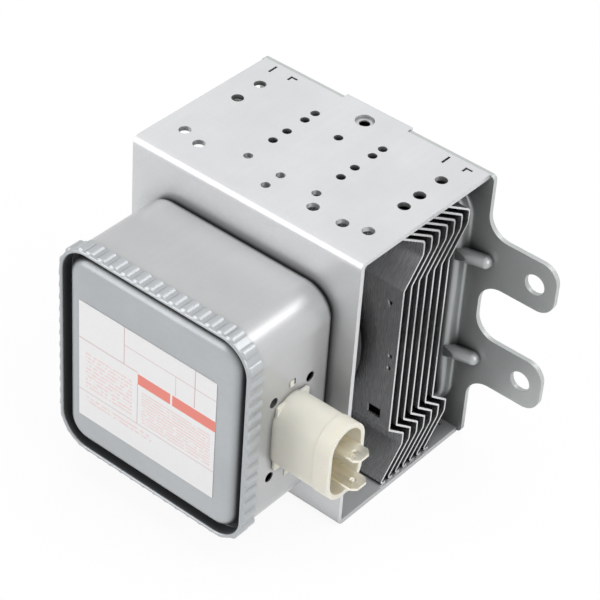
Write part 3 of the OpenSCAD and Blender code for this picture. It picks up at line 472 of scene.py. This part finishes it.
def moulded_finish(name, colour):
    """Moulded resin: faint flow marks, fine spark texture and slightly worn edges."""
    gloss = 0.42
    f = Finish(name, colour, roughness=gloss)
    rubbed_colour = (0.93, 0.91, 0.86)
    flow = f.noise(85.0, detail=3.0, stretch=(0.3, 1.0, 1.0))
    spark = f.noise(3200.0, detail=1.0)
    specks = f.specks(260.0, 0.10, 0.04)
    edge = f.soft_edges(0.22 * MM)
    tone = f.mix(f.ramp(flow, 0.3, 0.7), toned(colour, 0.94), colour)
    tone = f.mix(f.part(specks, 0.18), tone, toned(colour, 0.6))
    f.set("Base Color", f.mix(f.part(f.worn_edge(edge), 0.3), tone, rubbed_colour))
    f.set("Roughness", f.ramp(spark, 0.3, 0.8, gloss - 0.05, gloss + 0.12))
    f.set("Normal", f.relief(spark, 10 * MICRON, 0.5, edge))
    f.set("Subsurface Weight", 0.25)
    f.set("Subsurface Radius", (4 * MM, 2.8 * MM, 1.4 * MM))
    f.set("Subsurface Scale", 1.0)
    return f


def resin_finish(name, colour):
    """Cast potting resin: glossy, cloudy and a little wavy."""
    f = Finish(name, colour, roughness=0.25)
    cloud = f.noise(190.0, detail=3.0)
    wave = f.noise(260.0, detail=1.0)
    f.set("Base Color", f.mix(f.ramp(cloud, 0.3, 0.7), toned(colour, 0.72), colour))
    f.set("Roughness", f.ramp(cloud, 0.3, 0.7, 0.2, 0.4))
    f.set("Normal", f.relief(wave, 200 * MICRON, 0.4))
    return f


def blade_finish(name, colour):
    """Tinned strip: draw lines along the blade, dull places, and brass at its worn edges."""
    f = Finish(name, colour, metallic=0.9, roughness=0.3)
    dull_colour = (0.5, 0.48, 0.42)
    brass_colour = (0.70, 0.58, 0.36)
    lines = f.noise(1300.0, stretch=(0.05, 1.0, 1.0))
    dull = f.noise(260.0, detail=3.0)
    edge = f.soft_edges(0.12 * MM)
    tone = f.mix(f.ramp(lines, 0.35, 0.75, end=0.35), colour, toned(colour, 0.6))
    tone = f.mix(f.ramp(dull, 0.5, 0.75, end=0.25), tone, dull_colour)
    f.set("Base Color", f.mix(f.part(f.worn_edge(edge), 0.5), tone, brass_colour))
    f.set("Roughness", f.ramp(dull, 0.3, 0.75, 0.24, 0.46))
    f.set("Normal", f.relief(lines, 8 * MICRON, 0.4, edge))
    return f


def packed_shade_finish(name, colour):
    """Wire packed under the outer rows: painted shade, dark and uneven, with lighter strands painted as
    glints.
    """
    f = Finish(name, colour, metallic=0.6, roughness=0.5)
    strands = f.noise(1500.0, detail=4.0, stretch=(1.0, 0.35, 1.0), rough=0.75)
    # Painted shade, with lighter strands painted as glints
    tone = f.mix(f.ramp(strands, 0.45, 0.75), toned(colour, 0.35), toned(colour, 2.2))
    f.set("Base Color", tone)
    f.set("Roughness", f.ramp(strands, 0.3, 0.8, 0.6, 0.35))
    f.set("Normal", f.relief(strands, 200 * MICRON, 0.8))
    return f


def enamel_finish(name, colour):
    """Enamelled copper wire: clear brown coat over the metal, with light rubbed places."""
    f = Finish(name, colour, metallic=0.75, roughness=0.26)
    rubbed_colour = (0.62, 0.31, 0.16)
    rub = f.noise(700.0, detail=3.0)
    f.set("Base Color", f.mix(f.ramp(rub, 0.5, 0.75, end=0.6), colour, rubbed_colour))
    f.set("Roughness", f.ramp(rub, 0.3, 0.75, 0.2, 0.38))
    f.set("Coat Weight", 0.5)
    f.set("Coat Roughness", 0.12)
    f.set("Normal", f.relief(rub, 10 * MICRON, 0.3))
    return f


class PrintedFields:
    """Rectangles and rows of lines on the label, placed by shares of its width and height."""

    def __init__(self, finish, low, high):
        self.f = finish
        self.w, self.h = high.x - low.x, high.z - low.z
        x, _, z = finish.axes()
        self.u = finish.math("DIVIDE", finish.math("SUBTRACT", x, low.x), self.w)
        self.v = finish.math("DIVIDE", finish.math("SUBTRACT", high.z, z), self.h)

    def within(self, value, low, high):
        above = self.f.math("GREATER_THAN", value, low)
        return self.f.math("MULTIPLY", above, self.f.math("LESS_THAN", value, high))

    def block(self, left, top, right, foot):
        """1 inside a rectangle and 0 outside."""
        across = self.within(self.u, left, right)
        return self.f.math("MULTIPLY", across, self.within(self.v, top, foot))

    def level(self, at, left, right, width):
        """A rule across the label."""
        half = width / self.h / 2
        return self.block(left, at - half, right, at + half)

    def upright(self, at, top, foot, width):
        """A rule down the label."""
        half = width / self.w / 2
        return self.block(at - half, top, at + half, foot)

    def rows(self, field, pitch, gap):
        """Broken rows of fine lines inside a field."""
        wave = self.f.math("SINE", self.f.part(self.v, FULL_TURN * self.h / pitch))
        line = self.f.ramp(wave, 0.0, 0.35)
        breaks = self.f.noise(1100.0, detail=1.0, stretch=(1.0, 1.0, 0.5))
        dashes = self.f.ramp(breaks, gap, gap + 0.06)
        return self.f.math("MULTIPLY", self.f.math("MULTIPLY", line, dashes), self.block(*field))


def label_finish(settings):
    """Label stock with plain rules, two bars and rows of broken lines, and no words."""
    f = Finish("label print", settings.paper, roughness=0.42)
    p = PrintedFields(f, *LABEL_BOX)
    pitch, width = settings.line_pitch, settings.rule_w
    fibre = f.noise(1500.0)
    lines = [
        p.rows(LEFT_LINES, pitch, gap=0.40),
        p.rows(RIGHT_LINES, pitch * 0.8, gap=0.36),
        p.rows(FOOT_LINES, pitch, gap=0.42),
    ]
    rules = [p.upright(at, top, foot, width * w) for at, top, foot, w in UPRIGHT_RULES]
    rules += [p.level(at, left, right, width * w) for at, left, right, w in LEVEL_RULES]
    bars = [p.block(*field) for field in BARS]
    tone = f.mix(f.ramp(fibre, 0.3, 0.7), toned(settings.paper, 0.965), settings.paper)
    prints = (
        (lines, 0.75, settings.small_print),
        (rules, 0.7, settings.rule),
        (bars, 0.9, settings.bar),
    )
    for zones, cover, ink in prints:
        for zone in zones:
            tone = f.mix(f.part(zone, cover), tone, ink)
    f.set("Base Color", tone)
    f.set("Roughness", f.ramp(fibre, 0.3, 0.7, 0.36, 0.5))
    f.set("Normal", f.relief(fibre, 8 * MICRON, 0.4))
    return f


class MAGNETRON_OT_yoke(bpy.types.Operator):
    """Finish the yoke and the mounting plate"""

    bl_idname = "magnetron.yoke"
    bl_label = "Yoke and Plate"

    def execute(self, context):
        s = context.scene.magnetron_sheet
        yoke = zinc_finish("yoke zinc", s.yoke_colour, s, metallic=0.5, crease=YOKE_CREASE)
        yoke.wear("yoke_frame")
        plate = zinc_finish("plate zinc", s.plate_colour, s, metallic=0.5, crease=PLATE_CREASE)
        plate.wear("mounting_plate")
        return {"FINISHED"}


class MAGNETRON_OT_fins(bpy.types.Operator):
    """Finish the cooling fins"""

    bl_idname = "magnetron.fins"
    bl_label = "Cooling Fins"

    def execute(self, context):
        fin_finish(context.scene.magnetron_fins).wear(*named("fin_"))
        return {"FINISHED"}


class MAGNETRON_OT_tube(bpy.types.Operator):
    """Finish the magnets, the sealed tube and its antenna"""

    bl_idname = "magnetron.tube"
    bl_label = "Magnets and Tube"

    def execute(self, context):
        s = context.scene.magnetron_tube
        ferrite = ferrite_finish("magnet ferrite", s.ferrite_colour)
        ferrite.wear("input_magnet", "output_magnet", *named("ferrite_rod"))
        copper = copper_finish("tube copper", s.copper_colour)
        copper.wear("exhaust_tube", "antenna_lead", *named("anode_", "strap_ring"))
        steel = drawn_finish("cup steel", s.steel_colour, gloss=0.28)
        steel.wear("antenna_cap", "gasket_ring", *named("seal_cup"))
        iron = drawn_finish("pole iron", s.iron_colour, gloss=0.36)
        iron.wear(*named("pole_piece"))
        cathode = drawn_finish("cathode metal", s.cathode_colour, gloss=0.4)
        cathode.wear("filament", "centre_lead", "side_lead", *named("end_hat"))
        ceramic = ceramic_finish("insulator ceramic", s.ceramic_colour)
        ceramic.wear("stem_ceramic", "output_ceramic")
        packed_shade_finish("packed wire shade", s.packed_shade_colour).wear("rf_gasket")
        return {"FINISHED"}


def round_section(w, h, r, at):
    """Point and outward direction at a distance round a rounded rectangle."""
    arc = r * math.pi / 2
    for turn in range(4):
        side, deep = (w, h) if turn % 2 == 0 else (h, w)
        flat = side - 2 * r
        if at < flat + arc:
            angle = max(at - flat, 0.0) / r
            out = (math.sin(angle), math.cos(angle))
            along = min(at, flat) - flat / 2 + r * out[0]
            spot = (along, deep / 2 - r + r * out[1])
            for _ in range(turn):
                spot, out = (spot[1], -spot[0]), (out[1], -out[0])
            return spot, out
        at -= flat + arc
    # Rounding can leave a trace past the last arc, which belongs to the first side
    return round_section(w, h, r, at)


class GasketKnit:
    """Rows of wire loops over the gasket, a ring of rounded section that lies across Y."""

    points_per_loop = 6
    # How far a loop reaches past its row, in row spacings
    reach = 0.72
    # How far the wire stands off, and how much that changes along a loop, in wire radii
    stand, swing = 0.75, 0.65

    def __init__(self, settings):
        low, high = GASKET_BOX
        self.middle = (low + high) / 2
        spots = [v.co - self.middle for v in NODES["rf_gasket"].data.vertices]
        inner = min(math.hypot(p.x, p.z) for p in spots)
        outer = high.x - self.middle.x
        self.w, self.h = outer - inner, high.y - low.y
        self.radius = inner + self.w / 2
        self.edge_r, self.wire_r = settings.wire_round, settings.wire_r
        self.around = 2 * (self.w + self.h) + (FULL_TURN - 8) * self.edge_r
        self.rows = round(self.around / settings.row_pitch)
        self.loops = round(math.pi * (outer + inner) / settings.loop_pitch)

    def spot(self, row, turn):
        """A point of a row, at an angle round the ring."""
        half = math.pi * (row % 2)
        phase = self.loops * turn + half
        spacing = self.around / self.rows
        at = (row + self.reach * math.sin(phase)) * spacing % self.around
        (across, up), out = round_section(self.w, self.h, self.edge_r, at)
        lift = self.wire_r * (self.stand + self.swing * math.cos(2 * phase + half))
        r = self.radius + across + out[0] * lift
        place = Vector((r * math.cos(turn), up + out[1] * lift, r * math.sin(turn)))
        return self.middle + place

    def knit(self, curve):
        """Adds each row as one closed spline."""
        count = self.loops * self.points_per_loop
        for row in range(self.rows):
            spline = curve.splines.new("POLY")
            spline.points.add(count - 1)
            spline.use_cyclic_u = True
            for i, knot in enumerate(spline.points):
                knot.co = (*self.spot(row, FULL_TURN * i / count), 1.0)


class MAGNETRON_OT_gasket(bpy.types.Operator):
    """Knit the outer rows of wire round the gasket"""

    bl_idname = "magnetron.gasket"
    bl_label = "Gasket Wire"

    def execute(self, context):
        s = context.scene.magnetron_tube
        curve = bpy.data.curves.new("gasket_wire", "CURVE")
        curve.dimensions = "3D"
        curve.bevel_depth = s.wire_r
        curve.bevel_resolution = 1
        GasketKnit(s).knit(curve)
        curve.materials.append(drawn_finish("knitted wire", s.knit_colour, gloss=0.3).material)
        wire = bpy.data.objects.new("gasket_wire", curve)
        context.scene.collection.objects.link(wire)
        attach(wire, "root")
        return {"FINISHED"}


class MAGNETRON_OT_filter(bpy.types.Operator):
    """Finish the filter box, its lid and what is inside"""

    bl_idname = "magnetron.filter"
    bl_label = "Filter Box and Lid"

    def execute(self, context):
        s = context.scene.magnetron_sheet
        box = zinc_finish("box zinc", s.box_colour, s, metallic=0.6, crease=BOX_CREASE)
        box.wear("filter_box", "capacitor_plate")
        lid = zinc_finish("lid zinc", s.lid_colour, s, metallic=0.45, crease=LID_CREASE)
        lid.wear("filter_lid")
        wire_colour = context.scene.magnetron_tube.wire_colour
        enamel_finish("enamelled wire", wire_colour).wear(*named("choke_coil"))
        return {"FINISHED"}


class MAGNETRON_OT_label(bpy.types.Operator):
    """Print plain fields on the lid's label"""

    bl_idname = "magnetron.label"
    bl_label = "Lid Label"

    def execute(self, context):
        label_finish(context.scene.magnetron_label).wear("lid_label")
        return {"FINISHED"}


class MAGNETRON_OT_connector(bpy.types.Operator):
    """Finish the side connector and the terminals"""

    bl_idname = "magnetron.connector"
    bl_label = "Connector"

    def execute(self, context):
        s = context.scene.magnetron_connector
        moulded_finish("connector resin", s.shell).wear("connector_shell")
        resin_finish("potting resin", s.resin).wear("capacitor_potting")
        blade_finish("tinned blade", s.blade).wear(*named("terminal_tab", "stem_terminal"))
        return {"FINISHED"}


def seen_directly(tree):
    """1 for rays from the camera, from gloss and through glass."""
    path = tree.nodes.new("ShaderNodeLightPath")
    total = path.outputs["Is Camera Ray"]
    for name in ("Is Glossy Ray", "Is Transmission Ray"):
        both = tree.nodes.new("ShaderNodeMath")
        both.operation = "MAXIMUM"
        tree.links.new(total, both.inputs[0])
        tree.links.new(path.outputs[name], both.inputs[1])
        total = both.outputs["Value"]
    return total


def area_lamp(name, place, size, power):
    """A round lamp that faces the middle of the object."""
    data = bpy.data.lights.new(name, "AREA")
    data.shape = "DISK"
    data.size = size
    data.energy = power
    lamp = bpy.data.objects.new(name, data)
    lamp.location = place
    lamp.rotation_mode = "QUATERNION"
    middle = (CAD_BOX[0] + CAD_BOX[1]) / 2
    lamp.rotation_quaternion = (middle - place).to_track_quat("-Z", "Y")
    bpy.context.scene.collection.objects.link(lamp)
    return lamp


class MAGNETRON_OT_studio(bpy.types.Operator):
    """Set up the camera, the lamps, the floor and the white surroundings"""

    bl_idname = "magnetron.studio"
    bl_label = "Studio"

    floor_sides = 64
    sensor_width = 36.0

    def execute(self, context):
        s = context.scene.magnetron_studio
        self.make_camera(context.scene, s)
        self.make_floor(context.scene, s)
        self.make_world(context.scene, s)
        key = area_lamp("key lamp", s.key_place, s.key_size, s.key_power)
        key.visible_glossy = False
        glint = area_lamp("glint lamp", s.glint_place, s.glint_size, s.glint_power)
        glint.visible_diffuse = False
        area_lamp("front lamp", s.front_place, s.front_size, s.front_power)
        area_lamp("side lamp", s.side_place, s.side_size, s.side_power)
        context.scene.view_settings.view_transform = "Standard"
        return {"FINISHED"}

    def make_camera(self, scene, s):
        data = bpy.data.cameras.new("camera")
        data.sensor_width = self.sensor_width
        data.lens = s.lens
        data.clip_start, data.clip_end = 0.01, 20.0
        turn, lift, roll = s.camera_turn
        flat = math.cos(lift)
        back = Vector((math.sin(turn) * flat, -math.cos(turn) * flat, math.sin(lift)))
        level = (-back).cross(Vector((0.0, 0.0, 1.0))).normalized()
        over = level.cross(-back)
        right = level * math.cos(roll) + over * math.sin(roll)
        up = over * math.cos(roll) - level * math.sin(roll)
        camera = bpy.data.objects.new("camera", data)
        pose = Matrix((right, up, back)).transposed().to_4x4()
        camera.matrix_world = Matrix.Translation(s.camera_place) @ pose
        scene.collection.objects.link(camera)
        scene.camera = camera

    def make_floor(self, scene, s):
        mesh = bpy.data.meshes.new("studio_floor")
        turns = [FULL_TURN * i / self.floor_sides for i in range(self.floor_sides)]
        ring = [(s.floor_r * math.cos(t), s.floor_r * math.sin(t), -s.floor_drop) for t in turns]
        mesh.from_pydata(ring, [], [list(range(self.floor_sides))])
        floor = bpy.data.objects.new("studio_floor", mesh)
        scene.collection.objects.link(floor)
        f = Finish("studio floor", s.floor_colour, roughness=0.9)
        glow = f.add("ShaderNodeEmission")
        blend = f.add("ShaderNodeMixShader")
        lit = f.part(seen_directly(f.tree), 1.0 - s.shade)
        f.join(lit, blend.inputs[0])
        f.join(f.shader.outputs[0], blend.inputs[1])
        f.join(glow.outputs[0], blend.inputs[2])
        f.join(blend.outputs[0], f.tree.nodes["Material Output"].inputs["Surface"])
        mesh.materials.append(f.material)

    def make_world(self, scene, s):
        world = bpy.data.worlds.new("white room")
        world.use_nodes = True
        tree = world.node_tree
        room = tree.nodes["Background"]
        white = tree.nodes.new("ShaderNodeBackground")
        for part in (room, white):
            part.inputs["Color"].default_value = (1.0, 1.0, 1.0, 1.0)
        room.inputs["Strength"].default_value = s.room_light
        blend = tree.nodes.new("ShaderNodeMixShader")
        tree.links.new(seen_directly(tree), blend.inputs[0])
        tree.links.new(room.outputs[0], blend.inputs[1])
        tree.links.new(white.outputs[0], blend.inputs[2])
        tree.links.new(blend.outputs[0], tree.nodes["World Output"].inputs["Surface"])
        scene.world = world


OPERATORS = (
    MAGNETRON_OT_studio,
    MAGNETRON_OT_yoke,
    MAGNETRON_OT_fins,
    MAGNETRON_OT_tube,
    MAGNETRON_OT_gasket,
    MAGNETRON_OT_filter,
    MAGNETRON_OT_label,
    MAGNETRON_OT_connector,
)
SETTINGS = {
    "magnetron_sheet": SheetSettings,
    "magnetron_fins": FinSettings,
    "magnetron_tube": TubeSettings,
    "magnetron_label": LabelSettings,
    "magnetron_connector": ConnectorSettings,
    "magnetron_studio": StudioSettings,
}


class MAGNETRON_PT_looks(bpy.types.Panel):
    """Lists the steps and their settings"""

    bl_idname = "MAGNETRON_PT_looks"
    bl_label = "Magnetron"
    bl_space_type = "VIEW_3D"
    bl_region_type = "UI"
    bl_category = "Magnetron"

    def draw(self, context):
        for operator in OPERATORS:
            self.layout.operator(operator.bl_idname)
        for name, kind in SETTINGS.items():
            box = self.layout.box()
            box.label(text=kind.__doc__)
            for key in kind.__annotations__:
                box.prop(getattr(context.scene, name), key)


def register():
    for kind in (*SETTINGS.values(), *OPERATORS, MAGNETRON_PT_looks):
        bpy.utils.register_class(kind)
    for name, kind in SETTINGS.items():
        setattr(bpy.types.Scene, name, bpy.props.PointerProperty(type=kind))


def unregister():
    for name in SETTINGS:
        delattr(bpy.types.Scene, name)
    for kind in reversed((*SETTINGS.values(), *OPERATORS, MAGNETRON_PT_looks)):
        bpy.utils.unregister_class(kind)


def main():
    register()
    for operator in OPERATORS:
        group, name = operator.bl_idname.split(".")
        getattr(getattr(bpy.ops, group), name)()


if __name__ == "__main__":
    main()
